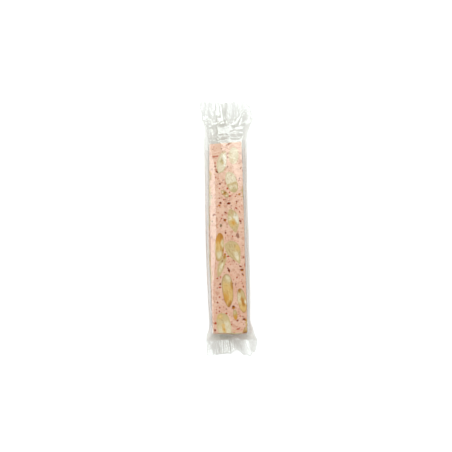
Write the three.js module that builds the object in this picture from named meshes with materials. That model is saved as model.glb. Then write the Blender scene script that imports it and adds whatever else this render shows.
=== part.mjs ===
// A pink almond nougat bar sealed in a sleeve of clear film, lying flat.
// Millimetres, +Z up. The bar runs along Y, its deep free end towards +Y.
// The origin is under the middle of the pack, on the surface that it lies on.
//
// The pack is one solid out to the film: a block where the film is drawn over the bar,
// a wing down each long side where the loose film stands off it, a neck that falls from
// the bar to each seal, and the two flat seals, crimped in ridges along the bar.

import * as THREE from "three";

// The bar, as the film shows it.
const barLength = 125;
const barWidth = 22;
const barThickness = 12.5;
const barFreeEndY = 53.3;
const barTightEndY = barFreeEndY - barLength;
const barEdgeSoftness = 1.4;

// The film sleeve.
const filmSlack = 0.2;
const filmTop = barThickness + 2 * filmSlack;
const sealHeight = filmTop / 2;
const wingTipThickness = 0.7;

// The seals.
const sealThickness = 0.8;
const ridgeHeight = 0.42;
const ridgeWander = 0.35;
const sealWaveLength = 15;
const sealWaveHeight = 0.75;
const scallopDepth = 1;

// The two cut ends: where the film is cut, where the crimp begins, how far apart its
// ridges are, how far the cut is drawn in over the middle, and a torn notch.
const freeCut = { y: 86.6, crimpFromY: 74, ridgePitch: 2.8, drawnIn: 1.2, notchX: -8, notchDepth: 0.6 };
const tightCut = { y: -86.4, crimpFromY: -75.2, ridgePitch: 2.4, drawnIn: 1.6, notchX: 3.1, notchDepth: 3 };
const notchWidth = 3;

// At each place along the pack: how far the film reaches to the left and to the right,
// how much of the bar's height it keeps, and how far its flat top has spread from the
// bar's own width (0) to the film's full width (1).
const stations = [
  { y: -86.4, left: 14.6, right: 12.9, height: 0, spread: 1 },
  { y: -83, left: 14.7, right: 15.7, height: 0, spread: 1 },
  { y: -76.5, left: 15, right: 17.2, height: 0, spread: 1 },
  { y: -75, left: 15, right: 16.9, height: 0.05, spread: 0.9 },
  { y: -73, left: 15, right: 16.2, height: 0.6, spread: 0.35 },
  { y: -71.4, left: 14.9, right: 15.6, height: 0.97, spread: 0.05 },
  { y: -68.7, left: 13.2, right: 14.6, height: 1, spread: 0 },
  { y: -64, left: 13, right: 13.1, height: 1, spread: 0 },
  { y: -50, left: 14, right: 13.8, height: 1, spread: 0 },
  { y: -20, left: 15, right: 14.1, height: 1, spread: 0 },
  { y: 17, left: 15.1, right: 13.9, height: 1, spread: 0 },
  { y: 43, left: 14.9, right: 14.4, height: 1, spread: 0 },
  { y: 53.5, left: 15.1, right: 14.1, height: 0.99, spread: 0.02 },
  { y: 59.5, left: 14.9, right: 13.6, height: 0.72, spread: 0.2 },
  { y: 66, left: 14, right: 15.9, height: 0.36, spread: 0.55 },
  { y: 73, left: 16.6, right: 18.9, height: 0.04, spread: 0.95 },
  { y: 78, left: 17.5, right: 17.8, height: 0, spread: 1 },
  { y: 82.5, left: 18.8, right: 16.1, height: 0, spread: 1 },
  { y: 86.6, left: 16.7, right: 13, height: 0, spread: 1 },
];

// Folds in the film over the free end: a groove or a ridge along a line.
const folds = [
  { from: [-12.7, 64], to: [-9.5, 58], width: 1.4, rise: -1.2 },
  { from: [-9.5, 58], to: [-2, 58.5], width: 1.4, rise: -1 },
  { from: [5.5, 59.5], to: [9.5, 59.5], width: 2.8, rise: -1.1 },
  { from: [-10.5, 73], to: [2.7, 69], width: 1.4, rise: 0.9 },
  { from: [2.7, 69], to: [9, 74.5], width: 1.4, rise: 0.9 },
  { from: [10.5, 66], to: [16, 71], width: 1.5, rise: 0.8 },
];
const foldFadesAt = 2.5;

// The mesh: about four columns for each ridge, and rows closest where the form changes.
const columns = 60;
const rowBands = [
  { to: tightCut.crimpFromY, rows: 5 },
  { to: -68, rows: 6 },
  { to: -62, rows: 2 },
  { to: 50, rows: 6 },
  { to: freeCut.crimpFromY, rows: 11 },
  { to: freeCut.y, rows: 6 },
];
const rows = rowBands.reduce((sum, band) => sum + band.rows, 0);

const { clamp, lerp } = THREE.MathUtils;

// 0 at one value, 1 at another, and eased between them, whichever is the larger.
function ease(value, from, to) {
  const share = clamp((value - from) / (to - from), 0, 1);
  return share * share * (3 - 2 * share);
}

function stationAt(y) {
  const found = stations.findIndex((station) => station.y >= y);
  const next = clamp(found, 1, stations.length - 1);
  const from = stations[next - 1];
  const to = stations[next];
  const share = ease(y, from.y, to.y);
  const between = (key) => lerp(from[key], to[key], share);
  return {
    left: between("left"),
    right: between("right"),
    height: between("height"),
    spread: between("spread"),
  };
}

// The crimp's ridges run along the bar, over a slower wave of the whole seal.
function crimpRise(x, y, cut) {
  const share = ease(y, cut.crimpFromY - 1.5 * Math.sign(cut.y), cut.crimpFromY + 2 * Math.sign(cut.y));
  const wander = ridgeWander * Math.sin(x / 4.1 + y / 9);
  const ridge = ridgeHeight * Math.sin((2 * Math.PI * x) / cut.ridgePitch + wander);
  const wave = sealWaveHeight * Math.sin((2 * Math.PI * x) / sealWaveLength + y / 7);
  return share * (ridge + wave);
}

// How far in from its own end the film is cut, at each place across it.
function cutShift(across, x, cut) {
  const scallop = scallopDepth * Math.abs(Math.sin((Math.PI * x) / (2 * cut.ridgePitch)));
  const notch = cut.notchDepth * Math.exp(-(((x - cut.notchX) / notchWidth) ** 2));
  return cut.drawnIn * (1 - across * across) + scallop + notch;
}

// Half the pack's thickness at x: full over the bar, falling to the wing's tip.
function halfThickness(x, station) {
  const reach = x < 0 ? station.left : station.right;
  const flat = lerp(barWidth / 2, reach, station.spread) - barEdgeSoftness / 2;
  const wing = Math.max(reach - flat, 0.1);
  const fall = clamp((Math.abs(x) - flat) / wing, 0, 1);
  const softness = clamp(barEdgeSoftness / wing, 0, 1);
  const eased = fall < softness ? (fall * fall) / (2 * softness) : fall - softness / 2;
  const share = 1 - eased / (1 - softness / 2);
  const full = lerp(sealThickness / 2, filmTop / 2, station.height);
  return lerp(wingTipThickness / 2, full, share);
}

function foldRise(x, y) {
  const place = new THREE.Vector3(x, y, 0);
  return folds.reduce((sum, fold) => {
    const from = new THREE.Vector3(...fold.from, 0);
    const to = new THREE.Vector3(...fold.to, 0);
    const near = new THREE.Line3(from, to).closestPointToPoint(place, true, new THREE.Vector3());
    const away = near.distanceTo(place) / fold.width;
    return sum + fold.rise * Math.exp(-away * away);
  }, 0);
}

// A row's place along the pack, from its share of all the rows.
function rowPlace(share) {
  let row = share * rows;
  let from = tightCut.y;
  for (const band of rowBands) {
    if (row <= band.rows) return lerp(from, band.to, row / band.rows);
    row -= band.rows;
    from = band.to;
  }
  return from;
}

// across runs from -1 at the left to 1 at the right, side is 1 on top and -1 below.
function packPoint(across, rowShare, side) {
  const y = rowPlace(rowShare);
  const station = stationAt(y);
  const x = across * (across < 0 ? station.left : station.right);
  const cut = y > 0 ? freeCut : tightCut;
  const barEndY = y > 0 ? barFreeEndY : barTightEndY;
  const half = halfThickness(x, station);
  const fold = side > 0 ? foldRise(x, y) * ease(half, 0.6, foldFadesAt) : 0;
  const z = sealHeight + side * half + fold + crimpRise(x, y, cut);
  const pulled = clamp((y - barEndY) / (cut.y - barEndY), 0, 1);
  return new THREE.Vector3(x, y - Math.sign(cut.y) * pulled * cutShift(across, x, cut), z);
}

// A box of rows and columns, with each of its corners moved to its place on the pack.
function wrappedBarGeometry() {
  const geometry = new THREE.BoxGeometry(2, 1, 2, columns, rows, 1);
  const corner = geometry.attributes.position;
  for (let i = 0; i < corner.count; i++) {
    const point = packPoint(corner.getX(i), corner.getY(i) + 0.5, Math.sign(corner.getZ(i)));
    corner.setXYZ(i, point.x, point.y, point.z);
  }
  geometry.computeBoundingBox();
  const middle = geometry.boundingBox.getCenter(new THREE.Vector3());
  geometry.translate(-middle.x, -middle.y, 0);
  geometry.computeVertexNormals();
  return geometry;
}

const nougatUnderFilm = new THREE.MeshStandardMaterial({
  name: "nougat under clear film",
  color: new THREE.Color(0.88, 0.72, 0.62),
  roughness: 0.3,
  metalness: 0,
});

const pack = new THREE.Group();
pack.name = "nougat bar in clear film";

const wrappedBar = new THREE.Mesh(wrappedBarGeometry(), nougatUnderFilm);
wrappedBar.name = "wrapped_bar";
pack.add(wrappedBar);

export default pack;
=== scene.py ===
# A pink almond nougat bar in its sleeve of clear film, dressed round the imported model.
import math
import random

import bmesh
import bpy
from mathutils import Matrix, Vector, noise


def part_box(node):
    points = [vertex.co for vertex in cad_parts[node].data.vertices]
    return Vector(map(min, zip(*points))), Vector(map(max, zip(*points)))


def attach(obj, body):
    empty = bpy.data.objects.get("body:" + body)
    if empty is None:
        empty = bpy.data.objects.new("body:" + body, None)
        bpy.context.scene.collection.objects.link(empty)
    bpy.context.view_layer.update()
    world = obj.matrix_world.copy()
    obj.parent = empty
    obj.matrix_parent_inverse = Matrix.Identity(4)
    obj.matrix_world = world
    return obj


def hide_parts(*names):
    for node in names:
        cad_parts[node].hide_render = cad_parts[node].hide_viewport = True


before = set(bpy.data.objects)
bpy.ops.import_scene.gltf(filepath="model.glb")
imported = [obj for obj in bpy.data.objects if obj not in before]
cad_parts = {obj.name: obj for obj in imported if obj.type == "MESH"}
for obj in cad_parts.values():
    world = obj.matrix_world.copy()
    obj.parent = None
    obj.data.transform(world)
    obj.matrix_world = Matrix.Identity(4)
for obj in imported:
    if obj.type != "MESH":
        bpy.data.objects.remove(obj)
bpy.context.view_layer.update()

mm = 0.001
packHigh = Vector(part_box("wrapped_bar")[1])


# Camera, at the photograph's angle: nearly straight down, from the tight end's side.
camera = {
    "lens": 52.2,
    "distance": 423 * mm,
    "tilt": 13.0,
    "roll": -1.15,
    "target": Vector((-1.2, -3.6, 12.7)) * mm,
    "photoWidth": 452,
    "sensor": 36.0,
}


def cameraAxes():
    tilt, roll = math.radians(camera["tilt"]), math.radians(camera["roll"])
    back = Vector((0, -math.sin(tilt), math.cos(tilt)))
    up = Vector((0, math.cos(tilt), math.sin(tilt)))
    turn = Matrix.Rotation(roll, 3, back)
    return turn @ Vector((1, 0, 0)), turn @ up, back


def makeCamera():
    right, up, back = cameraAxes()
    data = bpy.data.cameras.new("photo_camera")
    data.lens = camera["lens"]
    data.sensor_width = camera["sensor"]
    data.clip_start = 10 * mm
    eye = bpy.data.objects.new("photo_camera", data)
    bpy.context.scene.collection.objects.link(eye)
    turn = Matrix((right, up, back)).transposed().to_4x4()
    eye.matrix_world = Matrix.Translation(camera["target"] + back * camera["distance"]) @ turn
    bpy.context.scene.camera = eye


# Where the photograph's pixel lies on the level plane at this height.
def seenAt(photoX, photoY, height):
    right, up, back = cameraAxes()
    eye = camera["target"] + back * camera["distance"]
    perPixel = camera["sensor"] / camera["lens"] / camera["photoWidth"]
    middle = camera["photoWidth"] / 2
    ray = right * (photoX - middle) * perPixel - up * (photoY - middle) * perPixel - back
    return eye + ray * (height - eye.z) / ray.z


makeCamera()
print("camera set")


# Small tools for materials. An input takes a plain value or the output of another node.
def linear(colour):
    return tuple(((c / 255 + 0.055) / 1.055) ** 2.4 for c in colour)


def fill(socket, value):
    if isinstance(value, bpy.types.NodeSocket):
        socket.id_data.links.new(value, socket)
    else:
        socket.default_value = value


# Inputs are named with underscores for their spaces. Other names are the node's own settings.
def setUp(node, **values):
    for key, value in values.items():
        socket = node.inputs.get(key.replace("_", " "))
        if socket is None:
            setattr(node, key, value)
        else:
            fill(socket, value)
    return node


def addNode(nodes, kind, **values):
    return setUp(nodes.new(kind), **values)


def startMaterial(name):
    made = bpy.data.materials.new(name)
    made.use_nodes = True
    nodes = made.node_tree.nodes
    return made, nodes, nodes["Principled BSDF"]


def blendColours(nodes, factor, first, second):
    mix = addNode(nodes, "ShaderNodeMix", data_type="RGBA")
    factorSocket, firstSocket, secondSocket = mix.inputs[0], mix.inputs[6], mix.inputs[7]
    fill(factorSocket, factor)
    for socket, value in ((firstSocket, first), (secondSocket, second)):
        fill(socket, (*linear(value), 1) if isinstance(value, tuple) else value)
    return mix.outputs[2]


def rampBetween(nodes, source, low, high, top=1.0):
    return addNode(
        nodes, "ShaderNodeMapRange", interpolation_type="SMOOTHSTEP",
        Value=source, From_Min=low, From_Max=high, To_Max=top,
    ).outputs["Result"]


def addGrain(nodes, scale, detail):
    place = nodes.new("ShaderNodeTexCoord").outputs["Object"]
    grain = addNode(nodes, "ShaderNodeTexNoise", Vector=place, Scale=scale, Detail=detail)
    return grain.outputs["Fac"]


def addBump(nodes, height, strength, depth):
    bump = addNode(nodes, "ShaderNodeBump", Height=height, Strength=strength, Distance=depth * mm)
    return bump.outputs["Normal"]


# Light: softboxes over a pale table, in a room with pale walls and a ceiling that the film
# mirrors as dark. Places and sizes of the boxes are in metres, turns in degrees.
light = {
    "roomLight": 0.95,
    "ceilingMirrored": 0.15,
    "ceilingFrom": 0.3,
    "roomBehind": 0.95,
    # Name, place, size across and along, turn and radiance.
    "boxes": [
        ("upper", (0.04, 0.68, 0.566), (0.70, 0.56), 0, 4.0),
        ("overhead", (0.052, 0.29, 0.60), (0.097, 0.104), 0, 1.3),
        ("corner", (0.014, 0.297, 0.59), (0.026, 0.062), 0, 5.5),
        ("slanted", (0.059, 0.205, 0.60), (0.06, 0.12), 28.6, 2.0),
        ("left_strip", (-0.27, 0.12, 0.60), (0.13, 0.42), 0, 2.4),
        ("low_left", (-0.22, -0.13, 0.60), (0.22, 0.17), 0, 6.5),
        ("low_right", (0.24, -0.10, 0.60), (0.22, 0.20), 0, 5.5),
    ],
    "boxColour": (0.9, 1.0, 1.03),
    "aim": Vector((0, -5, 8)) * mm,
}


def makeSoftbox(name, at, size, turned, radiance):
    across, along = size
    data = bpy.data.lights.new(name, "AREA")
    data.shape = "RECTANGLE"
    data.size, data.size_y = across, along
    data.energy = radiance * math.pi * across * along
    data.color = light["boxColour"]
    lamp = bpy.data.objects.new(name, data)
    bpy.context.scene.collection.objects.link(lamp)
    place = Vector(at)
    back = (place - light["aim"]).normalized()
    lengthways = (Vector((0, 1, 0)) - back * back.y).normalized()
    facing = Matrix((lengthways.cross(back), lengthways, back)).transposed().to_4x4()
    turn = Matrix.Rotation(math.radians(turned), 4, "Z")
    lamp.matrix_world = Matrix.Translation(place) @ facing @ turn


def makeRoom():
    room = bpy.data.worlds.new("pale_room")
    room.use_nodes = True
    bpy.context.scene.world = room
    nodes = room.node_tree.nodes
    rays = nodes.new("ShaderNodeLightPath").outputs
    way = nodes.new("ShaderNodeTexCoord").outputs["Generated"]
    height = addNode(nodes, "ShaderNodeSeparateXYZ", Vector=way).outputs["Z"]
    walls = addNode(
        nodes, "ShaderNodeMapRange", Value=height, From_Max=light["ceilingFrom"],
        To_Min=light["roomBehind"], To_Max=light["ceilingMirrored"],
    ).outputs["Result"]
    seen = light["roomLight"]
    for ray, strength in (("Is Glossy Ray", walls), ("Is Camera Ray", light["roomBehind"])):
        seen = addNode(nodes, "ShaderNodeMix", Factor=rays[ray], A=seen, B=strength)
        seen = seen.outputs["Result"]
    setUp(nodes["Background"], Strength=seen, Color=(1, 1, 1, 1))


for box in light["boxes"]:
    makeSoftbox(*box)
makeRoom()
bpy.context.scene.view_settings.view_transform = "Standard"
print("lights set")


# Small tools for shapes. Sizes inside them are in millimetres.
def shareBetween(value, start, end):
    return min(max((value - start) / (end - start), 0), 1)


def ease(value, start, end):
    share = shareBetween(value, start, end)
    return share * share * (3 - 2 * share)


def lerp(start, end, share):
    return start + (end - start) * share


def hump(value, middle, spread):
    return math.exp(-(((value - middle) / spread) ** 2))


def toObject(bm, name, material):
    bmesh.ops.recalc_face_normals(bm, faces=bm.faces)
    bmesh.ops.scale(bm, verts=bm.verts, vec=(mm, mm, mm))
    for face in bm.faces:
        face.smooth = True
    mesh = bpy.data.meshes.new(name)
    bm.to_mesh(mesh)
    bm.free()
    mesh.materials.append(material)
    piece = bpy.data.objects.new(name, mesh)
    bpy.context.scene.collection.objects.link(piece)
    return piece


# The table.
table = {"size": 6000, "colour": (246, 246, 246), "roughness": 0.9, "gloss": 0.1}


def makeTable():
    material, _, surface = startMaterial("pale_table")
    colour = (*linear(table["colour"]), 1)
    setUp(
        surface, Base_Color=colour, Roughness=table["roughness"],
        Specular_IOR_Level=table["gloss"],
    )
    bm = bmesh.new()
    bmesh.ops.create_grid(bm, x_segments=1, y_segments=1, size=table["size"] / 2)
    toObject(bm, "table_top", material)


makeTable()


# The nougat block. It is modelled straight, and settled afterwards with all that is in it.
bar = {
    "length": 125, "width": 22, "thickness": 12.5,
    "bottom": 0.2, "lowest": 0.12, "freeReach": 33.1,
    "edgeRound": 0.4, "meshStep": 0.42,
    "crumb": 0.035, "crumbSizes": (1.3, 0.6), "crumbFine": 0.6,
    "pitSize": 1.9, "pitFrom": 0.42, "pitDepth": 5,
}
# What makes it uneven. A pair of ends is where along it, in mm or as a share of its length from
# the tight end, something sets in and where it is full.
uneven = {
    "bandWidth": 3.9, "bandLeast": 0.3, "bandSlope": 0.21,
    "bandFreeEnd": (53, 33), "bandTightEnd": (-52, -9),
    "bandNarrowing": 0.5, "bandNarrowingEnds": (-45, -72),
    "bow": 0.5, "bowEnds": (-72, -16),
    "lean": 1.2, "leanMiddle": -10, "leanReach": 32,
    "freeNarrowing": 0.03, "freeNarrowingEnds": (0.82, 1),
    "tightNarrowing": 0.035, "tightNarrowingEnds": (0.1, 0),
    "freeSkew": 0.06, "freeSkewEnds": (0.85, 1),
    "tightSag": 0.6, "tightSagMiddle": 3.5, "tightSagReach": 6, "tightSagEnds": (0.08, 0),
    "wander": 0.22, "wanderSize": 9, "seed": 1,
    "dips": 0.09, "dipSize": 5, "dipMean": 0.6,
}
bar["freeEnd"] = packHigh.y / mm - bar["freeReach"]
bar["tightEnd"] = bar["freeEnd"] - bar["length"]
bar["top"] = bar["bottom"] + bar["thickness"]
barLow = Vector((-bar["width"] / 2, bar["tightEnd"], bar["bottom"]))
barHigh = Vector((bar["width"] / 2, bar["freeEnd"], bar["top"]))
# Noise that gives a vector is drawn anew on each run unless it is seeded.
noise.seed_set(uneven["seed"])


# The nearest place on the block's rounded form, for a point that lies outside it.
def flush(point, proud=0.0):
    inset = Vector((bar["edgeRound"],) * 3)
    inner = Vector(min(max(c, lo), hi) for c, lo, hi in zip(point, barLow + inset, barHigh - inset))
    away = point - inner
    reach = bar["edgeRound"] + proud
    return inner + away * (reach / away.length) if away.length > reach else point


# How far the top has sunk towards its left edge, in a band that is widest round the middle.
def bandDrop(x, y):
    opened = ease(y, *uneven["bandFreeEnd"]) * ease(y, *uneven["bandTightEnd"])
    width = uneven["bandWidth"] * lerp(uneven["bandLeast"], 1, opened)
    width -= uneven["bandNarrowing"] * ease(y, *uneven["bandNarrowingEnds"])
    reach = -x - (bar["width"] / 2 - width)
    return uneven["bandSlope"] * max(reach, 0)


# How far the bar bows to the left.
def bowAt(y):
    return uneven["bow"] * ease(y, *uneven["bowEnds"])


# How far its lower left edge leans out.
def leanAt(y):
    return uneven["lean"] * hump(y, uneven["leanMiddle"], uneven["leanReach"])


# The block's own unevenness, shared by the nougat and everything cut with it.
def settle(point):
    x, y, z = point
    along = (y - bar["tightEnd"]) / bar["length"]
    high = (z - bar["bottom"]) / bar["thickness"]
    z -= high * bandDrop(x, y)
    narrowing = uneven["freeNarrowing"] * ease(along, *uneven["freeNarrowingEnds"])
    narrowing += uneven["tightNarrowing"] * ease(along, *uneven["tightNarrowingEnds"])
    x *= 1 - narrowing
    x -= bowAt(y)
    if x < 0:
        x -= leanAt(y) * (1 - max(high, 0) ** 3) * (-x * 2 / bar["width"]) ** 3
    y += uneven["freeSkew"] * x * ease(along, *uneven["freeSkewEnds"])
    sag = uneven["tightSag"] * hump(x, uneven["tightSagMiddle"], uneven["tightSagReach"])
    y -= sag * ease(along, *uneven["tightSagEnds"])
    drift = noise.noise_vector(Vector((x, y, z)) / uneven["wanderSize"]) * uneven["wander"]
    dip = uneven["dipMean"] + noise.noise(Vector((x, y, 30)) / uneven["dipSize"])
    z -= high * uneven["dips"] * dip
    return Vector((x + drift.x, y + drift.y, max(z, bar["lowest"])))


# Tones are named as the bar shows them through the film, which adds the light that it mirrors.
# The bar itself has this share of them.
underFilm = 0.86


def throughFilm(colour):
    return tuple(min(1, c * underFilm) for c in linear(colour))


nougatTones = {
    # light: a tone of painted light, for the free end where more of the lamps' light falls.
    "light": (248, 211, 186),
    "pale": (237, 196, 173),
    "body": (231, 182, 156),
    "rosy": (219, 168, 141),
    "spot": (203, 118, 92),
    "fleck": (176, 92, 64),
    "crystal": (244, 220, 202),
}


# Its layers, each over those before it. A cloud has a scale, detail, where it sets in and is full,
# and strength. Length has where along the bar it sets in and is full in metres, and strength.
# Dots have a scale, their size and the share of cells that have one.
nougatLayers = [
    ("body", "cloud", (130, 3.0, 0.34, 0.66, 1.0)),
    # This layer is painted light: the bar grows lighter towards its free end, as if more light fell
    # there.
    ("light", "length", (-0.06, 0.07, 0.75)),
    ("rosy", "cloud", (480, 3.0, 0.45, 0.72, 0.65)),
    ("crystal", "cloud", (1500, 1.0, 0.58, 0.75, 0.5)),
    ("rosy", "dots", (300, 0.42, 0.5)),
    ("spot", "dots", (620, 0.3, 0.4)),
    ("fleck", "dots", (1000, 0.26, 0.3)),
]
nougatLook = {
    "roughness": 0.6, "gloss": 0.2,
    "bleed": 0.1, "bleedReach": Vector((1.4, 0.7, 0.4)) * mm,
    "grainScale": 1400, "grainDetail": 4.0, "grainStrength": 0.4, "grainDepth": 0.06,
    "dotPicking": 0.6, "dotEdge": 0.55,
}


def nougatMaterial():
    material, nodes, surface = startMaterial("pink_nougat")
    place = nodes.new("ShaderNodeTexCoord").outputs["Object"]
    lengthways = addNode(nodes, "ShaderNodeSeparateXYZ", Vector=place).outputs["Y"]

    def cloud(scale, detail, *ramp):
        return rampBetween(nodes, addGrain(nodes, scale, detail), *ramp)

    def length(*ramp):
        return rampBetween(nodes, lengthways, *ramp)

    # Dots in some of the cells only, which each cell's own colour picks.
    def dots(scale, size, share):
        cells = addNode(nodes, "ShaderNodeTexVoronoi", Vector=place, Scale=scale, Randomness=1.0)
        colour = addNode(nodes, "ShaderNodeSeparateColor", Color=cells.outputs["Color"])
        full, middle = 1 - share * nougatLook["dotPicking"], size * nougatLook["dotEdge"]
        picked = rampBetween(nodes, colour.outputs["Red"], 1 - share, full)
        return rampBetween(nodes, cells.outputs["Distance"], size, middle, picked)

    kinds = {"cloud": cloud, "length": length, "dots": dots}
    colour = nougatTones["pale"]
    for tone, kind, values in nougatLayers:
        colour = blendColours(nodes, kinds[kind](*values), colour, nougatTones[tone])
    scaled = addNode(nodes, "ShaderNodeVectorMath", operation="SCALE", Scale=underFilm)
    fill(scaled.inputs[0], colour)
    fine = addGrain(nodes, nougatLook["grainScale"], nougatLook["grainDetail"])
    setUp(
        surface, Base_Color=scaled.outputs["Vector"], Roughness=nougatLook["roughness"],
        Specular_IOR_Level=nougatLook["gloss"], Subsurface_Weight=nougatLook["bleed"],
        Subsurface_Radius=nougatLook["bleedReach"], Subsurface_Scale=1.0,
        Normal=addBump(nodes, fine, nougatLook["grainStrength"], nougatLook["grainDepth"]),
    )
    return material


def cutAcross(bm, axis, step):
    def runsAlong(edge):
        return abs((edge.verts[0].co - edge.verts[1].co).normalized()[axis]) > 0.99

    edges = [edge for edge in bm.edges if runsAlong(edge)]
    cuts = round((barHigh - barLow)[axis] / step) - 1
    bmesh.ops.subdivide_edges(bm, edges=edges, cuts=cuts, use_grid_fill=True)


def makeNougat():
    bm = bmesh.new()
    bmesh.ops.create_cube(bm, size=1)
    bmesh.ops.scale(bm, verts=bm.verts, vec=barHigh - barLow)
    bmesh.ops.translate(bm, verts=bm.verts, vec=(barLow + barHigh) / 2)
    for axis in (1, 0, 2):
        cutAcross(bm, axis, bar["meshStep"])
    for vert in bm.verts:
        vert.co = settle(flush(vert.co))
    bm.normal_update()
    coarse, fine = bar["crumbSizes"]
    for vert in bm.verts:
        crumb = noise.noise(vert.co / coarse) + bar["crumbFine"] * noise.noise(vert.co / fine)
        pit = noise.noise(vert.co / bar["pitSize"] + Vector((40, 0, 0))) - bar["pitFrom"]
        vert.co += vert.normal * bar["crumb"] * (crumb - bar["pitDepth"] * max(0, pit))
    return toObject(bm, "nougat_block", nougatMaterial())


nougat = makeNougat()
print("nougat block made")


# The block's faces: outwards, lengthways and across.
xAxis, yAxis, zAxis = Vector((1, 0, 0)), Vector((0, 1, 0)), Vector((0, 0, 1))
faces = {
    "top": (zAxis, yAxis, xAxis),
    "under": (-zAxis, yAxis, xAxis),
    "left": (-xAxis, yAxis, zAxis),
    "right": (xAxis, yAxis, zAxis),
    "free": (yAxis, xAxis, zAxis),
    "tight": (-yAxis, xAxis, zAxis),
}


# A place on a face, by its share of the way from the face's middle to its rim.
def onFace(face, along, across):
    outAxis, alongAxis, acrossAxis = faces[face]
    share = outAxis + alongAxis * along + acrossAxis * across
    half = (barHigh - barLow) / 2
    return (barLow + barHigh) / 2 + Vector(h * s for h, s in zip(half, share))


# The straight bar's place that bows to where the photograph shows it.
def onTopAt(photoX, photoY):
    place = seenAt(photoX, photoY, bar["top"] * mm) / mm
    return place + Vector((bowAt(place.y), 0, 0))


# Pieces are made one by one, and gathered in one mesh.
def gather(parts, name, material):
    whole = bmesh.new()
    whole.verts.layers.float_color.new("tint")
    for part in parts:
        mesh = bpy.data.meshes.new("part")
        part.to_mesh(mesh)
        part.free()
        whole.from_mesh(mesh)
        bpy.data.meshes.remove(mesh)
    return toObject(whole, name, material)


# Almond pieces, cut through with the bar.
almondTones = {
    # The white tone also serves as painted highlight: the film's highlights over the top almonds.
    "whiteAndHighlight": (246, 240, 224),
    "cream": (242, 229, 201),
    "pale": (233, 219, 187),
    "khaki": (212, 186, 135),
    "olive": (196, 180, 128),
    "golden": (227, 187, 115),
    "orange": (214, 151, 56),
    "toast": (186, 121, 38),
    "brown": (138, 92, 44),
}
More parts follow.
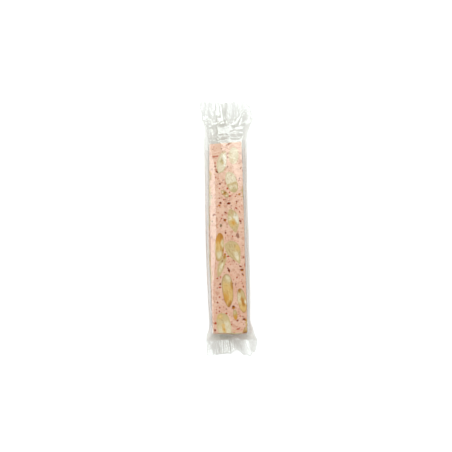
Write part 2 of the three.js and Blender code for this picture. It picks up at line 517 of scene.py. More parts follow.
# at: pixel of the photograph. size: length and width. turn: degrees to the right.
# corners: degrees round from the right side, and how far they stand out.
# spots: places along and across from -1 to 1, size and tone. The white spots on these almonds are
# painted highlights of the film over them.
# rim: the tone of a painted shade round the cut face, where the almond meets the nougat.
almonds = [
    {"at": (221.9, 162.0), "size": (14.8, 6.0), "turn": 10, "taper": -0.12,
     "tones": ("pale", "pale"), "wrinkle": 0.13, "corners": [(70, 0.12), (250, 0.1)],
     "shadeRim": "olive",
     "spots": [(0.35, 0.45, 0.45, "whiteAndHighlight"), (-0.15, 0.75, 0.4, "whiteAndHighlight"),
     (0.1, -0.15, 0.25, "olive"), (-0.1, 0.25, 0.2, "khaki"), (0.95, 0.0, 0.22, "toast"),
     (-0.6, 0.0, 0.35, "cream")]},
    {"at": (233.7, 155.7), "size": (11.9, 7.0), "turn": 3, "tones": ("pale", "pale"),
     "shadeRim": "khaki",
     "spots": [(0.6, 0.0, 0.6, "cream"), (-0.6, -0.5, 0.4, "khaki"), (0.1, -0.7, 0.3, "khaki")]},
    {"at": (231.7, 182.4), "size": (14.4, 7.0), "turn": -17, "square": 2.3,
     "tones": ("cream", "khaki"), "split": -0.02, "corners": [(100, 0.08)], "shadeRim": "olive",
     "wrinkle": 0.1,
     "spots": [(-0.5, 0.4, 0.3, "pale"), (-0.75, 0.0, 0.25, "olive"), (-0.35, -0.4, 0.25, "pale")]},
    {"at": (224.9, 193.7), "size": (6.8, 3.1), "turn": -43, "tones": ("khaki", "khaki"),
     "shadeRim": "brown", "wrinkle": 0.12,
     "spots": [(0.1, 0.1, 0.5, "toast"), (0.5, -0.2, 0.25, "cream"), (-0.5, -0.1, 0.25, "cream"),
     (0.1, 0.4, 0.2, "brown")]},
    {"at": (233.2, 220.2), "size": (14.7, 7.0), "turn": -11, "taper": 0.08, "square": 1.8,
     "tones": ("khaki", "khaki"), "corners": [(20, 0.1), (95, 0.08), (262, 0.1)], "shadeRim": "olive",
     "wrinkle": 0.1,
     "spots": [(-0.2, -0.1, 0.5, "golden"), (-0.25, 0.0, 0.22, "orange"), (0.35, 0.5, 0.4, "whiteAndHighlight"),
     (-0.05, 0.8, 0.35, "whiteAndHighlight"), (0.25, -0.6, 0.25, "cream"), (0.6, 0.1, 0.3, "khaki")]},
    {"at": (219.4, 246.8), "size": (18.2, 6.0), "turn": 4, "taper": -0.05, "square": 2.2,
     "tones": ("orange", "khaki"), "shadeRim": "toast", "wrinkle": 0.1, "corners": [(268, 0.06)],
     "spots": [(0.85, 0.1, 0.42, "toast"), (0.6, -0.3, 0.35, "orange"), (0.3, 0.75, 0.35, "pale"),
     (-0.5, 0.0, 0.35, "pale"), (-0.05, -0.3, 0.4, "golden"), (-0.25, 0.8, 0.12, "toast")]},
    {"at": (233.6, 251.0), "size": (14.6, 8.8), "turn": -24, "taper": 0.2, "square": 1.7,
     "tones": ("khaki", "khaki"), "corners": [(130, 0.12), (272, 0.2), (20, 0.06)], "shadeRim": "olive",
     "spots": [(0.5, -0.4, 0.3, "khaki"), (-0.35, 0.15, 0.3, "pale"), (0.1, 0.75, 0.4, "golden"),
     (0.25, 0.1, 0.25, "khaki"), (-0.6, 0.1, 0.2, "cream")]},
    {"at": (221.6, 265.6), "size": (15.0, 4.1), "turn": 20, "taper": 0.1, "bend": 0.5,
     "square": 1.8, "tones": ("khaki", "khaki"), "shadeRim": "olive", "wrinkle": 0.12,
     "spots": [(0.85, 0, 0.3, "toast"), (-0.25, 0.1, 0.4, "pale"), (0.4, -0.2, 0.14, "brown"),
     (0.1, 0.3, 0.2, "cream")]},
    {"at": (227.7, 290.0), "size": (20.4, 6.9), "turn": -3, "taper": 0.1, "square": 2.3,
     "tones": ("khaki", "golden"), "shadeRim": "brown", "corners": [(262, 0.06)],
     "spots": [(0.78, 0.3, 0.32, "pale"), (-0.45, -0.5, 0.4, "orange"), (0.1, -0.2, 0.45, "golden"),
     (-0.88, 0.2, 0.28, "toast"), (0.0, 0.6, 0.35, "golden"), (0.25, 0.95, 0.3, "toast")]},
    {"at": (242.0, 300.4), "size": (15.6, 5.4), "turn": -8, "square": 2.2,
     "tones": ("khaki", "golden"), "groove": 0.3, "shadeRim": "brown", "wrinkle": 0.1,
     "spots": [(0.95, -0.2, 0.35, "toast"), (0.2, -0.6, 0.45, "pale"), (0.1, 0.15, 0.3, "toast"),
     (-0.3, 0.2, 0.3, "toast"), (-0.7, 0.2, 0.3, "golden"), (-0.15, 0.75, 0.2, "whiteAndHighlight"),
     (0.45, 0.5, 0.4, "khaki")]},
    {"at": (235.3, 314.7), "size": (6.4, 2.8), "turn": -5, "tones": ("olive", "orange"),
     "shadeRim": "toast",
     "spots": [(0.4, -0.2, 0.4, "khaki")]},
    {"at": (223.9, 325.4), "size": (15.2, 8.9), "turn": -10, "square": 2.3,
     "tones": ("khaki", "pale"), "shadeRim": "olive", "corners": [(110, 0.06)],
     "spots": [(0.75, -0.3, 0.3, "golden"), (0.0, 0.45, 0.35, "pale"), (-0.5, -0.6, 0.3, "pale"),
     (-0.3, 0.35, 0.35, "pale"), (0.0, -0.1, 0.18, "golden"),
     (-0.2, -0.12, 0.18, "golden"), (-0.4, -0.1, 0.18, "golden"),
     (-0.6, -0.05, 0.18, "golden"), (-0.3, -0.1, 0.1, "orange")]},
    {"at": (246.4, 330.8), "size": (6.4, 3.4), "turn": 25, "tones": ("khaki", "toast"),
     "shadeRim": "brown",
     "spots": [(-0.4, 0, 0.4, "brown")]},
]
almondShape = {
    "around": 56, "rings": 34,
    "depth": 0.32, "proud": 0.09, "least": 0.04,
    "cornerReach": 0.3,
    "ragged": 0.05, "raggedScales": (1.7, 4), "raggedFine": 0.6,
    "wrinkle": 0.06, "wrinkleSizes": (0.5, 1.6), "wrinkleMean": 0.2, "wrinkleEnds": (1.0, 0.8),
    "groove": 0.2, "grooveAt": 0.25, "grooveReach": 0.35, "grooveEnds": (0.8, 0.5),
    "bendMean": 0.4, "seedStep": 3.1,
}
# How its tones are laid. Ends are where one sets in and where it is full.
almondPaint = {
    "blend": 0.7, "splitBlend": 0.06,
    "spot": 0.85, "spotEnds": (1.15, 0.45), "spotSquash": 0.6, "spotWobble": 0.35, "spotScale": 3,
    "streakScales": (3.5, 7),
    "whiteAndHighlight": 0.22, "whiteAndHighlightEnds": (0.15, 0.6), "brown": 0.25, "brownEnds": (-0.25, -0.6),
    # The rim is painted shade: a darker line round the cut face's edge, where it meets the nougat.
    "shadeRim": 0.4, "shadeRimEnds": (0.8, 1.0), "shadeRimWobble": 0.08,
}
almondLook = {
    "grain": 1100, "grainTone": (150, 112, 60), "grainShare": 0.35,
    "roughness": 0.5, "gloss": 0.15, "bump": 0.4,
}


# The tone of an almond's cut face. along and across run from -1 to 1.
def almondTint(almond, along, across, edge, seed):
    first, second = (Vector(almondTones[tone]) for tone in almond["tones"])
    spread = almondPaint["splitBlend" if "split" in almond else "blend"]
    middle = almond.get("split", 0)
    tint = second.lerp(first, ease(along, middle - spread, middle + spread))
    scale = almondPaint["spotScale"]
    for spotAlong, spotAcross, size, tone in almond["spots"]:
        aside = (across - spotAcross) * almondPaint["spotSquash"]
        away = math.hypot(along - spotAlong, aside) / size
        wobble = noise.noise(Vector((along * scale, across * scale, seed)))
        away += almondPaint["spotWobble"] * wobble
        share = almondPaint["spot"] * ease(away, *almondPaint["spotEnds"])
        tint = tint.lerp(Vector(almondTones[tone]), share)
    scaleAlong, scaleAcross = almondPaint["streakScales"]
    streak = noise.noise(Vector((along * scaleAlong, across * scaleAcross, seed + 7)))
    for tone in ("whiteAndHighlight", "brown"):
        share = almondPaint[tone] * ease(streak, *almondPaint[tone + "Ends"])
        tint = tint.lerp(Vector(almondTones[tone]), share)
    # Painted shade: the cut face darkens towards its edge, where it meets the nougat.
    rimShade = ease(edge + almondPaint["shadeRimWobble"] * streak, *almondPaint["shadeRimEnds"])
    return tint.lerp(Vector(almondTones[almond["shadeRim"]]), almondPaint["shadeRim"] * rimShade)


def almondOutline(almond, angle, seed):
    square = almond.get("square", 2.0)
    form = (abs(math.cos(angle)) ** square + abs(math.sin(angle)) ** square) ** (-1 / square)
    for degrees, pull in almond.get("corners", []):
        apart = math.remainder(angle - math.radians(degrees), 2 * math.pi)
        form += pull * hump(apart, 0, almondShape["cornerReach"])
    place = Vector((math.cos(angle), math.sin(angle), seed))
    coarse, fine = (noise.noise(place * scale) for scale in almondShape["raggedScales"])
    return form * (1 + almondShape["ragged"] * (coarse + almondShape["raggedFine"] * fine))


# An almond piece round a place on the block, with its cut side flush with the face there.
def makeAlmond(almond, place, face, seed, detail=1.0):
    bm = bmesh.new()
    paint = bm.verts.layers.float_color.new("tint")
    around, rings = (round(almondShape[name] * detail) for name in ("around", "rings"))
    bmesh.ops.create_uvsphere(bm, u_segments=around, v_segments=rings, radius=1)
    outAxis, alongAxis, acrossAxis = faces[face]
    turn = Matrix.Rotation(-math.radians(almond["turn"]), 3, outAxis)
    alongAxis, acrossAxis = turn @ alongAxis, turn @ acrossAxis
    longHalf, wideHalf = (size / 2 for size in almond["size"])
    wrinkleAcross, wrinkleAlong = almondShape["wrinkleSizes"]
    wrinkleRise = almond.get("wrinkle", almondShape["wrinkle"])
    grooveDepth = almond.get("groove", 0) * almondShape["groove"]
    for vert in bm.verts:
        across, along, out = vert.co
        edge = math.hypot(across, along)
        form = almondOutline(almond, math.atan2(along, across), seed)
        sideways = across * form * wideHalf * (1 + almond.get("taper", 0) * along)
        sideways += almond.get("bend", 0) * (along * along - almondShape["bendMean"])
        lengthways = along * form * longHalf
        creased = Vector((sideways / wrinkleAcross, lengthways / wrinkleAlong, seed))
        wrinkles = noise.noise(creased) - almondShape["wrinkleMean"]
        groove = hump(sideways, almondShape["grooveAt"], almondShape["grooveReach"])
        proud = almondShape["proud"]
        proud += wrinkleRise * wrinkles * ease(edge, *almondShape["wrinkleEnds"])
        proud -= grooveDepth * groove * ease(abs(along), *almondShape["grooveEnds"])
        spot = place + acrossAxis * sideways + alongAxis * lengthways
        spot += outAxis * out * wideHalf * 2 * almondShape["depth"]
        vert[paint] = (*throughFilm(almondTint(almond, along, across, edge, seed)), 1)
        proud = max(proud, almondShape["least"])
        vert.co = settle(flush(spot, proud if out > -0.01 else 0))
    return bm


# A material that takes its tone from the mesh, with grain over it.
tinted = {"detail": 3.0, "grainEnds": (0.5, 0.72), "bumpDepth": 0.05}


def tintedMaterial(name, look):
    material, nodes, surface = startMaterial(name)
    tint = addNode(nodes, "ShaderNodeAttribute", attribute_name="tint").outputs["Color"]
    grain = addGrain(nodes, look["grain"], tinted["detail"])
    share = rampBetween(nodes, grain, *tinted["grainEnds"], look["grainShare"])
    setUp(
        surface, Base_Color=blendColours(nodes, share, tint, look["grainTone"]),
        Roughness=look["roughness"], Specular_IOR_Level=look["gloss"],
        Normal=addBump(nodes, grain, look["bump"], tinted["bumpDepth"]),
    )
    return material


# The sides, the ends and the underside get almonds by a seeded draw from these ranges.
hidden = {
    "counts": {"left": 10, "right": 10, "under": 14, "free": 2, "tight": 2},
    "tones": ["cream", "pale", "khaki", "golden", "olive"],
    # The rim tones are for the painted shade round each cut face.
    "shadeRims": ["olive", "toast", "khaki"],
    "length": (6, 17), "width": (3, 8), "turnSpread": 20,
    "taper": (-0.2, 0.2), "square": (1.8, 2.4),
    "corners": 2, "corner": (0, 0.12),
    "spots": 4, "spotAlong": (-0.8, 0.8), "spotAcross": (-0.6, 0.6), "spotSize": (0.2, 0.5),
    "stray": (-0.3, 0.3), "reach": 0.95, "across": (-0.75, 0.75),
    "seed": (50, 90), "detail": 0.6,
}


def hiddenAlmond(draw):
    def drawn(name):
        return draw.uniform(*hidden[name])

    def tone():
        return draw.choice(hidden["tones"])

    return {
        "size": (drawn("length"), drawn("width")),
        "turn": draw.gauss(0, hidden["turnSpread"]),
        "taper": drawn("taper"),
        "square": drawn("square"),
        "corners": [(draw.uniform(0, 360), drawn("corner")) for _ in range(hidden["corners"])],
        "tones": (tone(), tone()),
        "shadeRim": draw.choice(hidden["shadeRims"]),
        "spots": [
            (drawn("spotAlong"), drawn("spotAcross"), drawn("spotSize"), tone())
            for _ in range(hidden["spots"])
        ],
    }


def hiddenAlmonds():
    draw = random.Random(31)
    for face, count in hidden["counts"].items():
        for i in range(count):
            almond = hiddenAlmond(draw)
            middle = i + 0.5 + draw.uniform(*hidden["stray"])
            along = (middle / count * 2 - 1) * hidden["reach"]
            place = onFace(face, along, draw.uniform(*hidden["across"]))
            yield makeAlmond(almond, place, face, draw.uniform(*hidden["seed"]), hidden["detail"])


def makeAlmonds():
    parts = []
    for i, almond in enumerate(almonds):
        place = onTopAt(*almond["at"])
        parts.append(makeAlmond(almond, place, "top", i * almondShape["seedStep"]))
    parts += hiddenAlmonds()
    return gather(parts, "almond_pieces", tintedMaterial("cut_almond", almondLook))


almondPieces = makeAlmonds()
print("almonds made")


# Dried fruit pieces, from specks to crumbs of 2 mm.
fruitTones = {
    "dark": (126, 44, 10),
    "plum": (150, 58, 34),
    "brown": (160, 78, 22),
    "red": (186, 76, 48),
    "rose": (211, 134, 110),
    "amber": (196, 122, 28),
    "mauve": (172, 124, 104),
    "grey": (146, 122, 88),
}
# Pixel of the photograph, length and width in mm, turn in degrees, and tone.
fruitSeen = [
    (212.5, 148.5, 0.9, 0.7, 0, "plum"), (221.1, 148.2, 1.1, 0.8, 20, "mauve"),
    (225.5, 147.5, 0.8, 0.6, 40, "red"), (228.7, 143.9, 1.5, 0.9, 70, "brown"),
    (230.3, 143.5, 1.0, 0.7, 60, "amber"), (226.6, 145.4, 1.3, 1.0, 30, "amber"),
    (222.3, 151.6, 0.9, 0.8, 0, "brown"), (227.4, 153.9, 1.2, 1.0, 0, "mauve"),
    (227.5, 157.6, 1.3, 0.9, -40, "brown"), (240.5, 153.5, 0.8, 0.8, 0, "mauve"),
    (215.1, 166.6, 1.2, 1.0, -40, "dark"), (212.1, 169.2, 1.0, 0.8, 0, "mauve"),
    (217.1, 171.9, 1.5, 1.1, -50, "dark"), (227.6, 166.8, 1.2, 0.9, 0, "mauve"),
    (240.9, 168.0, 1.7, 0.8, 35, "brown"), (235.5, 177.8, 1.0, 0.8, 0, "plum"),
    (239.5, 178.5, 1.1, 0.7, 20, "dark"), (239.0, 180.3, 1.0, 0.7, 20, "red"),
    (219.8, 183.7, 1.3, 1.1, 0, "dark"), (223.2, 180.1, 1.2, 0.7, 30, "mauve"),
    (215.3, 177.5, 0.9, 0.8, 0, "red"), (218.0, 178.4, 1.2, 0.8, 80, "rose"),
    (227.4, 188.3, 1.3, 1.1, 60, "red"), (229.6, 192.5, 1.1, 0.9, 40, "red"),
    (219.4, 188.5, 0.9, 0.8, 0, "red"), (211.4, 195.5, 0.8, 0.6, 70, "grey"),
    (229.9, 196.1, 1.5, 1.0, 60, "red"), (239.4, 194.3, 1.3, 1.2, 0, "amber"),
    (235.5, 196.4, 0.9, 0.8, 0, "red"), (219.4, 198.3, 1.0, 0.7, -40, "brown"),
    (223.7, 199.7, 1.1, 1.0, 0, "red"), (220.5, 202.9, 1.4, 1.1, -40, "dark"),
    (228.7, 203.3, 2.1, 1.4, 80, "dark"), (219.4, 205.5, 1.3, 1.0, 90, "amber"),
    (236.8, 201.3, 1.2, 1.0, -30, "plum"), (236.6, 203.1, 0.9, 0.7, 0, "amber"),
    (231.4, 205.5, 0.9, 0.6, 20, "mauve"), (236.3, 208.1, 1.7, 0.8, -45, "red"),
    (225.3, 212.3, 1.4, 0.8, -45, "plum"), (213.7, 214.8, 1.6, 1.1, 40, "brown"),
    (239.4, 211.8, 1.0, 0.7, 0, "red"), (222.4, 215.0, 1.2, 1.0, 0, "rose"),
    (221.5, 218.4, 1.0, 0.8, 40, "red"), (224.9, 219.9, 1.8, 1.5, 60, "brown"),
    (225.2, 220.9, 1.1, 0.9, 60, "amber"), (212.3, 221.2, 0.8, 0.8, 0, "grey"),
    (240.1, 221.0, 1.5, 1.1, -45, "plum"), (240.5, 223.4, 0.9, 0.8, 0, "mauve"),
    (221.0, 225.6, 1.9, 1.2, 10, "grey"), (216.3, 225.7, 0.9, 0.8, 0, "amber"),
    (225.5, 232.8, 1.3, 0.9, -10, "dark"), (232.6, 236.1, 1.1, 0.9, 0, "red"),
    (237.7, 235.6, 3.4, 1.7, -8, "mauve"), (211.6, 237.2, 1.0, 0.8, 0, "mauve"),
    (224.8, 254.6, 1.5, 1.1, 0, "amber"), (228.0, 256.4, 1.4, 0.9, 90, "red"),
    (229.4, 261.5, 0.9, 0.8, 0, "rose"), (243.6, 257.4, 1.1, 0.8, 0, "plum"),
    (243.0, 245.6, 1.0, 0.6, 80, "mauve"), (227.9, 268.4, 1.1, 0.9, -40, "plum"),
    (229.1, 270.6, 1.7, 1.3, -15, "dark"), (229.4, 272.0, 1.1, 0.8, -15, "amber"),
    (240.5, 266.3, 1.6, 0.8, -55, "dark"), (241.9, 269.7, 2.2, 0.9, 85, "dark"),
    (242.3, 270.7, 1.7, 0.6, 85, "amber"), (242.6, 274.2, 1.3, 0.8, -40, "dark"),
    (243.3, 275.3, 1.1, 0.7, -40, "amber"), (220.5, 277.1, 1.5, 1.1, 0, "rose"),
    (217.3, 278.4, 1.2, 0.8, 70, "red"), (236.8, 277.4, 1.0, 0.8, 0, "red"),
    (220.5, 284.0, 1.5, 1.0, 5, "dark"), (220.1, 287.3, 1.4, 0.9, 80, "red"),
    (217.5, 288.0, 0.9, 0.7, 0, "mauve"), (235.7, 284.2, 1.6, 0.7, 15, "mauve"),
    (242.4, 283.5, 0.8, 0.6, 0, "mauve"), (243.4, 286.6, 1.1, 0.9, 0, "brown"),
    (219.5, 297.3, 1.1, 0.9, 0, "red"), (217.3, 302.4, 1.1, 0.9, 0, "plum"),
    (223.2, 299.4, 1.1, 0.6, 80, "rose"), (219.6, 307.6, 1.0, 0.8, 0, "red"),
    (219.5, 311.3, 1.0, 0.8, 0, "plum"), (226.4, 309.2, 0.9, 0.9, 0, "mauve"),
    (226.4, 313.6, 1.2, 0.9, 60, "red"), (216.3, 312.7, 1.0, 0.8, 0, "rose"),
    (233.3, 306.6, 1.6, 1.2, 45, "dark"), (233.5, 307.7, 1.8, 1.1, 75, "amber"),
    (240.3, 316.1, 1.3, 1.0, 0, "rose"), (242.7, 316.3, 1.1, 0.6, 85, "mauve"),
    (237.7, 320.4, 1.3, 0.9, 60, "plum"), (244.4, 319.2, 1.6, 1.1, 80, "dark"),
    (245.7, 320.0, 1.3, 0.9, 70, "amber"), (215.5, 323.5, 1.4, 1.2, 50, "red"),
    (214.8, 330.1, 1.3, 1.1, 0, "plum"), (231.3, 324.4, 0.9, 0.8, 0, "red"),
    (229.6, 322.2, 1.0, 0.8, 0, "mauve"), (226.4, 320.8, 1.0, 0.9, 0, "brown"),
    (238.4, 328.3, 2.1, 0.7, 82, "red"), (246.0, 328.0, 1.3, 1.0, -50, "dark"),
    (234.3, 332.0, 1.2, 0.9, 0, "rose"), (213.7, 156.4, 2.6, 1.2, 85, "rose"),
    (217.0, 156.0, 1.6, 1.2, 80, "rose"), (215.1, 163.0, 1.4, 1.0, 0, "rose"),
]
fruitShape = {
    "proud": 0.06, "depth": 0.9, "lumps": 0.5, "lumpScale": 4,
    "seenScale": 1.09, "fineFrom": 1.2,
}
# Specks all over, and crumbs wherever the photograph doesn't show the bar. Sizes are in mm.
scattered = {
    "specks": 900, "speckSize": (0.25, 0.65),
    "speckTones": ["red", "red", "rose", "rose", "brown", "plum", "amber"],
    "crumbs": 120, "crumbSize": (0.8, 1.7), "crumbOdds": 1.3,
    "crumbTones": ["dark", "plum", "brown", "red", "amber", "red", "mauve"],
    "stretch": 1.3, "along": (-0.98, 0.98), "across": (-0.97, 0.97),
}
fruitLook = {
    "grain": 1800, "grainTone": (200, 104, 30), "grainShare": 0.3,
    "roughness": 0.5, "gloss": 0.04, "bump": 0.2,
}


def makeFruitPiece(place, face, size, turn, tone, seed, rounds):
    length, width = size
    bm = bmesh.new()
    paint = bm.verts.layers.float_color.new("tint")
    bmesh.ops.create_icosphere(bm, subdivisions=rounds, radius=0.5)
    outAxis, alongAxis, acrossAxis = faces[face]
    spin = Matrix.Rotation(-math.radians(turn), 3, outAxis)
    alongAxis, acrossAxis = spin @ alongAxis, spin @ acrossAxis
    colour = (*throughFilm(fruitTones[tone]), 1)
    for vert in bm.verts:
        lump = noise.noise(vert.co * fruitShape["lumpScale"] + Vector((seed, 0, 0)))
        across, along, out = vert.co * (1 + fruitShape["lumps"] * lump)
        spot = place + acrossAxis * across * width + alongAxis * along * length
        spot += outAxis * out * width * fruitShape["depth"]
        vert[paint] = colour
        vert.co = settle(flush(spot, fruitShape["proud"]))
    return bm


def scatteredFruit():
    draw = random.Random(7)
    span = barHigh - barLow
    areas = [abs(span.dot(along)) * abs(span.dot(across)) for _, along, across in faces.values()]
    odds = scattered["crumbOdds"] * scattered["crumbs"] / scattered["specks"]
    for face in draw.choices(list(faces), areas, k=scattered["specks"] + scattered["crumbs"]):
        kind = "crumb" if face != "top" and draw.random() < odds else "speck"
        width = draw.uniform(*scattered[kind + "Size"])
        place = onFace(face, draw.uniform(*scattered["along"]), draw.uniform(*scattered["across"]))
        tone = draw.choice(scattered[kind + "Tones"])
        size = width * scattered["stretch"], width
        turn, seed = draw.uniform(0, 180), draw.uniform(0, 99)
        yield makeFruitPiece(place, face, size, turn, tone, seed, 2 if kind == "crumb" else 1)


def makeFruit():
    parts = []
    for photoX, photoY, length, width, turn, tone in fruitSeen:
        rounds = 3 if length > fruitShape["fineFrom"] else 2
        size = length * fruitShape["seenScale"], width * fruitShape["seenScale"]
        place, seed = onTopAt(photoX, photoY), photoX + photoY
        parts.append(makeFruitPiece(place, "top", size, turn, tone, seed, rounds))
    parts += scatteredFruit()
    return gather(parts, "fruit_pieces", tintedMaterial("dried_fruit", fruitLook))


fruitPieces = makeFruit()
print("fruit made")


# The film sleeve. Places and sizes are in mm, as in the solid that it replaces.
film = {
    "columns": 96, "weld": 0.002, "least": 0.1,
    "middle": 6.45, "topHalf": 6.52, "underHalf": 6.37, "sealHalf": 0.06, "tipHalf": 0.3,
    "lowest": 0.08, "seat": 0.4,
    "leftWing": [(0, 1), (0.5, 0.46), (1, 0)],
    "rightWing": [(0, 1), (0.22, 0.76), (0.64, 0.64), (0.96, 0.1), (1, 0)],
    "wingRound": 0.4, "wingEnds": (0.6, 1), "waver": 0.25, "waverLength": 11,
    "closing": 0.3, "closingSides": (1, 0.985),
    "looseHalf": (0.4, 2.5), "looseBeyond": (0.8, 4),
    "crumple": 0.45, "crumpleUnder": 0.5, "crumpleMean": 0.45, "crumpleCap": 0.7,
    "crumpleSizes": ((6.5, 1.0), (3.0, 0.45)), "crumpleStretch": 0.85,
    "ripple": 0.05, "rippleSizes": (5, 12), "overBar": 0.5, "sunkMost": 0.04,
    "foldReach": 1.4, "facetHeight": 8.5, "facetEnds": (1.3, 0.6),
}
# The crimps of both seals, and their ragged cuts.
crimps = {
    "setIn": 2.5, "fan": 0.5, "fanEnds": (5, 14),
    "ridgeHeight": 0.2, "wander": 0.8, "wanderSizes": (3.5, 9),
    "swell": 0.7, "swellSizes": (2.2, 12),
    "lobeHeight": 0.2, "lobeLength": 5, "lobeReach": 8,
    "waveLength": 15, "waveSlant": 7,
    "scallop": 1.0, "ragged": 0.6, "raggedSize": 1.2, "notchReach": 1.9,
}
freeCut = {
    "y": 86.5, "crimpFrom": 74, "pitch": 2.8, "wave": 0.6,
    "drawnIn": 1.2, "notchX": -8, "notchDepth": 0.6,
}
tightCut = {
    "y": -86.4, "crimpFrom": -75.2, "pitch": 2.0, "wave": 0.3,
    "drawnIn": 1.6, "notchX": 4.2, "notchDepth": 3.0,
}
# y, reach to the left and right, share of the full height, spread of the flat top.
filmStations = [
    (-86.4, 14.6, 12.9, 0, 1),
    (-83, 14.7, 15.7, 0, 1),
    (-76.5, 15, 17.2, 0, 1),
    (-76.0, 15, 17.1, 0.03, 0.95),
    (-74.3, 15, 16.4, 0.47, 0.3),
    (-72.6, 14.9, 15.6, 0.97, 0.03),
    (-68.7, 13.2, 14.6, 1, 0),
    (-64, 12.9, 13.0, 1, 0),
    (-50, 13.6, 13.4, 1, 0),
    (-20, 14.5, 13.6, 1, 0),
    (17, 14.7, 13.4, 1, 0),
    (43, 14.7, 13.9, 1, 0),
    (54.2, 15.0, 14.0, 1, 0),
    (57, 15.0, 13.8, 0.9, 0.08),
    (61, 14.7, 14.2, 0.74, 0.25),
    (66, 14, 15.9, 0.52, 0.5),
    (71, 15.8, 18.2, 0.18, 0.9),
    (74, 16.9, 18.8, 0.02, 0.98),
    (78, 17.5, 17.8, 0, 1),
    (82.5, 18.8, 16.1, 0, 1),
    (86.6, 16.7, 13, 0, 1),
]
# Where a band of rows ends, and how far apart its rows are.
filmBands = [(-75.2, 0.5), (-68, 0.35), (-60, 0.8), (48, 1.5), (74, 0.42), (86.5, 0.5)]
# Folds over the free end: from, to, width and rise.
filmFolds = [
    ((-12.9, 63), (-10.6, 57.2), 0.9, 0.25),
    ((-10.6, 57.2), (-3, 56.8), 0.8, 0.16),
    ((-3, 56.8), (0.5, 60), 0.8, 0.12),
    ((-10.5, 73), (-2.7, 67), 1.0, 0.5),
    ((-2.7, 67), (9, 73), 1.0, 0.5),
    ((10.5, 66), (16, 71), 1.4, 0.6),
    ((-6.9, 54.3), (-6.9, 58.5), 0.6, 0.2),
    ((-3.6, 54.3), (-3.6, 58), 0.6, 0.2),
    ((1.0, 54.3), (1.0, 59), 0.6, 0.2),
    ((10.8, 54), (13, 66), 1.2, 0.4),
    ((-10.8, 54), (-12.5, 64), 1.2, 0.4),
]
# Loose film that is tilted on its own: pixel of the photograph, width and length in mm, turn in
# degrees to the right, and how much it rises to the right and towards the free end.
filmFacets = [
    ((235.6, 136.0), (9.4, 6.8), 0, (0.0, 0.36)),
    ((212.0, 141.2), (8.4, 4.4), 0, (0.0, -0.8)),
    ((211.6, 130.5), (7.0, 10.0), -18, (0.1, -0.5)),
    ((223.3, 139.8), (9.0, 5.6), 0, (0.0, 0.3)),
    ((210.0, 120.0), (9.5, 5.0), 0, (0.0, -0.5)),
    ((213.6, 112.5), (3.4, 7.0), 12, (-0.6, -0.3)),
    ((221.5, 123.6), (11.0, 3.6), 0, (0.0, -0.55)),
    ((230.0, 117.5), (11.0, 5.2), -25, (0.1, -0.5)),
    ((245.0, 118.0), (6.5, 17.0), 20, (-0.3, 0.25)),
    ((213.5, 341.0), (2.6, 2.4), 0, (-0.22, 0.0)),
    ((227.5, 340.5), (1.8, 2.2), 0, (-0.22, 0.0)),
    ((249.5, 347.0), (2.4, 4.0), 20, (-0.2, 0.05)),
    ((253.5, 338.0), (1.2, 1.2), 0, (0.28, 0.0)),
]
facetHeight = film["facetHeight"] * mm
facetPlaces = [((seenAt(*at, facetHeight) / mm).xy, *rest) for at, *rest in filmFacets]


def facetLift(x, y):
    lift = 0
    for centre, (width, length), turn, (sideways, lengthways) in facetPlaces:
        away = Vector((x, y)) - centre
        along = Matrix.Rotation(math.radians(turn), 2) @ away
        edge = math.hypot(along.x * 2 / width, along.y * 2 / length)
        rise = away.x * sideways + away.y * lengthways
        lift += rise * ease(edge, *film["facetEnds"])
    return lift


# Runs smoothly through the stations' values.
def filmStation(y):
    last = len(filmStations) - 1
    after = next((i for i, station in enumerate(filmStations) if station[0] >= y), last)
    after = max(after, 1)
    around = (filmStations[min(max(after + step, 0), last)] for step in (-2, -1, 0, 1))
    before, first, second, beyond = around
    gap = second[0] - first[0]
    share = shareBetween(y, first[0], second[0])
    values = []
    for a, b, c, d in zip(before[1:], first[1:], second[1:], beyond[1:]):
        start = (c - a) / max(second[0] - before[0], film["least"]) * gap
        end = (d - b) / max(beyond[0] - first[0], film["least"]) * gap
        near, far = ease(share, 0, 1), share * share * (share - 1)
        values.append(b * (1 - near) + c * near + start * share * (1 - share) ** 2 + end * far)
    left, right, height, spread = values
    return left, right, shareBetween(height, 0, 1), shareBetween(spread, 0, 1)


def noiseAt(x, y, sizes, seed):
    return noise.noise(Vector((x / sizes[0], y / sizes[1], seed)))


def wavesAlong(x, length, shift=0):
    return math.sin(2 * math.pi * x / length + shift)


def crimpRise(x, y, cut):
    side = math.copysign(1, cut["y"])
    setIn = crimps["setIn"] * side
    share = ease(y, cut["crimpFrom"] - setIn, cut["crimpFrom"] + setIn)
    fan = crimps["fan"] * ease(x, *crimps["fanEnds"]) * side
    fanned = x + (y - cut["crimpFrom"]) * fan
    wander = crimps["wander"] * noiseAt(x, y, crimps["wanderSizes"], side)
    swell = 1 + crimps["swell"] * noiseAt(x, y, crimps["swellSizes"], side + 5)
    ridge = crimps["ridgeHeight"] * swell * wavesAlong(fanned, cut["pitch"], math.pi * wander)
    lobe = crimps["lobeHeight"] * hump(x, 0, crimps["lobeReach"])
    lobe *= wavesAlong(x, crimps["lobeLength"], 3 * wander)
    wave = cut["wave"] * wavesAlong(x, crimps["waveLength"], y / crimps["waveSlant"])
    return share * (ridge + lobe + wave)


def cutShift(across, x, cut):
    scallop = crimps["scallop"] * abs(wavesAlong(x, 4 * cut["pitch"]))
    ragged = crimps["ragged"] * noise.noise(Vector((x / crimps["raggedSize"], cut["y"], 0)))
    notch = cut["notchDepth"] * hump(x, cut["notchX"], crimps["notchReach"])
    return cut["drawnIn"] * (1 - across * across) + scallop + ragged + notch


def wingShare(corners, share):
    for (start, high), (end, low) in zip(corners, corners[1:]):
        if share <= end:
            return lerp(high, low, (share - start) / (end - start))
    return 0


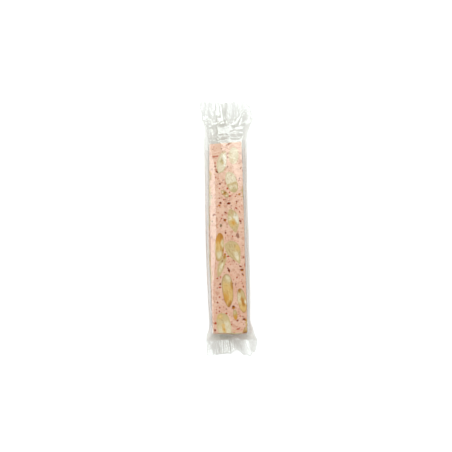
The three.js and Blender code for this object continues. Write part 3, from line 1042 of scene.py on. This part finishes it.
def halfHeight(x, y, onTop, station):
    left, right, height, spread = station
    reach = left if x < 0 else right
    seat = bar["width"] / 2 + film["seat"] + math.copysign(bowAt(y), -x)
    if x < 0 and not onTop:
        seat += leanAt(y)
    flat = lerp(seat, reach, spread)
    full = lerp(film["sealHalf"], film["topHalf"] if onTop else film["underHalf"], height)
    if onTop:
        full -= bandDrop(max(x + bowAt(y), -bar["width"] / 2), y) * height
    if abs(x) <= flat:
        return full
    share = (abs(x) - flat) / max(reach - flat, film["least"])
    drift = noise.noise(Vector((y / film["waverLength"], 3 if x < 0 else 8, 0)))
    share = min(max(share + film["waver"] * drift * share * (1 - share), 0), 1)
    plain = 1 - lerp(share, share * share, film["wingRound"])
    formed = wingShare(film["leftWing" if x < 0 else "rightWing"], share) if onTop else plain
    tip = lerp(film["sealHalf"], film["tipHalf"], height)
    return lerp(tip, full, lerp(plain, formed, ease(height, *film["wingEnds"])))


def nearLine(x, y, start, end):
    start, end, place = Vector(start), Vector(end), Vector((x, y))
    line = end - start
    share = min(max((place - start).dot(line) / line.length_squared, 0), 1)
    return (place - start - line * share).length


def crumple(x, y, seed):
    total = 0
    for size, weight in film["crumpleSizes"]:
        place = Vector((x / size + seed, y / size * film["crumpleStretch"], seed))
        nearest, second, *_ = noise.voronoi(place)[0]
        total += weight * min(second - nearest, film["crumpleCap"])
    return total


def foldRise(x, y):
    total = 0
    for start, end, width, rise in filmFolds:
        away = nearLine(x, y, start, end) / (width * film["foldReach"])
        total += rise * max(0, 1 - away)
    return total


# A place on the sleeve: across runs from -1 to 1.
def filmPoint(across, y, onTop):
    station = filmStation(y)
    left, right, height, _ = station
    x = across * (left if across < 0 else right)
    cut = freeCut if y > 0 else tightCut
    barEnd = bar["freeEnd"] if y > 0 else bar["tightEnd"]
    half = halfHeight(x, y, onTop, station)
    closed = ease(abs(y), abs(cut["y"]) - film["closing"], abs(cut["y"]))
    half *= (1 - closed) * ease(abs(across), *film["closingSides"])
    beyond = abs(y) - abs(barEnd)
    loose = ease(half, *film["looseHalf"]) * ease(beyond, *film["looseBeyond"])
    crumpled = crumple(x, y, 3.3 if onTop else 8.1) - film["crumpleMean"]
    lift = (1 if onTop else -film["crumpleUnder"]) * loose * film["crumple"] * crumpled
    if onTop:
        lift += loose * foldRise(x, y)
        lift += facetLift(x, y)
        if beyond < film["overBar"]:
            lift = max(lift, -film["sunkMost"])
        lift += film["ripple"] * noiseAt(x, y, film["rippleSizes"], 2) * height
    z = film["middle"] + (half if onTop else -half) + lift + crimpRise(x, y, cut)
    pulled = min(max((y - barEnd) / (cut["y"] - barEnd), 0), 1)
    shifted = y - math.copysign(1, cut["y"]) * pulled * cutShift(across, x, cut)
    return Vector((x, shifted, max(z, film["lowest"])))


def filmRows():
    rows = [tightCut["y"]]
    for end, step in filmBands:
        start = rows[-1]
        count = max(round((end - start) / step), 1)
        rows += [lerp(start, end, (i + 1) / count) for i in range(count)]
    return rows


# What the film lets through when it is seen straight, slanting and steeply, and how much it
# mirrors at least. Ends are where the slanting and the steep colour set in and are full.
clearLook = {
    "straight": (240, 239, 237), "slanting": (235, 234, 231), "steep": (188, 178, 170),
    "mirrorLow": 0.09, "mirrorRise": 5,
}
seamLook = {
    "straight": (250, 249, 247), "slanting": (248, 248, 246), "steep": (246, 245, 243),
    "mirrorLow": 0.015, "mirrorRise": 8,
}
filmSheen = {"roughness": 0.1, "slantingEnds": (0.1, 0.33), "steepEnds": (0.68, 0.84)}


# Mirrors alike on both of its sides, and mirrors and dims more the flatter it is seen.
def filmMaterial(name, look):
    material, nodes, surface = startMaterial(name)
    nodes.remove(surface)
    facing = addNode(nodes, "ShaderNodeLayerWeight", Blend=0.5).outputs["Facing"]
    tint = look["straight"]
    for seen in ("slanting", "steep"):
        share = rampBetween(nodes, facing, *filmSheen[seen + "Ends"])
        tint = blendColours(nodes, share, tint, look[seen])
    clear = addNode(nodes, "ShaderNodeBsdfTransparent", Color=tint)
    shine = addNode(
        nodes, "ShaderNodeBsdfGlossy", Color=(1, 1, 1, 1), Roughness=filmSheen["roughness"]
    )
    rise = addNode(nodes, "ShaderNodeMath", operation="POWER")
    for socket, value in zip(rise.inputs, (facing, look["mirrorRise"])):
        fill(socket, value)
    mirrored = addNode(
        nodes, "ShaderNodeMapRange", Value=rise.outputs["Value"], To_Min=look["mirrorLow"]
    )
    mix = addNode(nodes, "ShaderNodeMixShader", Fac=mirrored.outputs["Result"])
    fill(mix.inputs[1], clear.outputs["BSDF"])
    fill(mix.inputs[2], shine.outputs["BSDF"])
    setUp(nodes["Material Output"], Surface=mix.outputs["Shader"])
    return material


# A closed bag, from one grid rolled round: its first half is the top, its second the underside.
def makeSleeve():
    rows = filmRows()
    bm = bmesh.new()
    columns, last = 2 * film["columns"], len(rows) - 1
    bmesh.ops.create_grid(bm, x_segments=columns, y_segments=last, size=0.5)
    for vert in bm.verts:
        turn = vert.co.x + 0.5
        onTop = turn <= 0.5
        across = 4 * turn - 1 if onTop else 3 - 4 * turn
        vert.co = filmPoint(across, rows[round((vert.co.y + 0.5) * last)], onTop)
    bmesh.ops.remove_doubles(bm, verts=bm.verts, dist=film["weld"])
    return toObject(bm, "film_sleeve", filmMaterial("clear_film", clearLook))


sleeve = makeSleeve()
print("film made")


# The sleeve's lengthways seam, folded flat under the pack from cut to cut.
seam = {
    "from": -6.9, "to": 1.0, "columns": 24, "crimpPitch": 0.9, "crimpHeight": 0.02,
    "below": 0.06, "lowest": 0.03,
}


def makeSeam():
    rows = filmRows()
    bm = bmesh.new()
    columns, last = seam["columns"], len(rows) - 1
    bmesh.ops.create_grid(bm, x_segments=columns, y_segments=last, size=0.5)
    for vert in bm.verts:
        x = lerp(seam["from"], seam["to"], vert.co.x + 0.5)
        y = rows[round((vert.co.y + 0.5) * last)]
        left, right, _, _ = filmStation(y)
        spot = filmPoint(x / (left if x < 0 else right), y, False)
        crimp = seam["crimpHeight"] * wavesAlong(x, seam["crimpPitch"])
        spot.z = max(spot.z - seam["below"] + crimp, seam["lowest"])
        vert.co = spot
    piece = toObject(bm, "back_seam", filmMaterial("seam_film", seamLook))
    if piece.data.polygons[0].normal.z > 0:
        piece.data.flip_normals()
    return piece


backSeam = makeSeam()
print("seam made")


for piece in (nougat, almondPieces, fruitPieces, sleeve, backSeam):
    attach(piece, "root")
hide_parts("wrapped_bar")
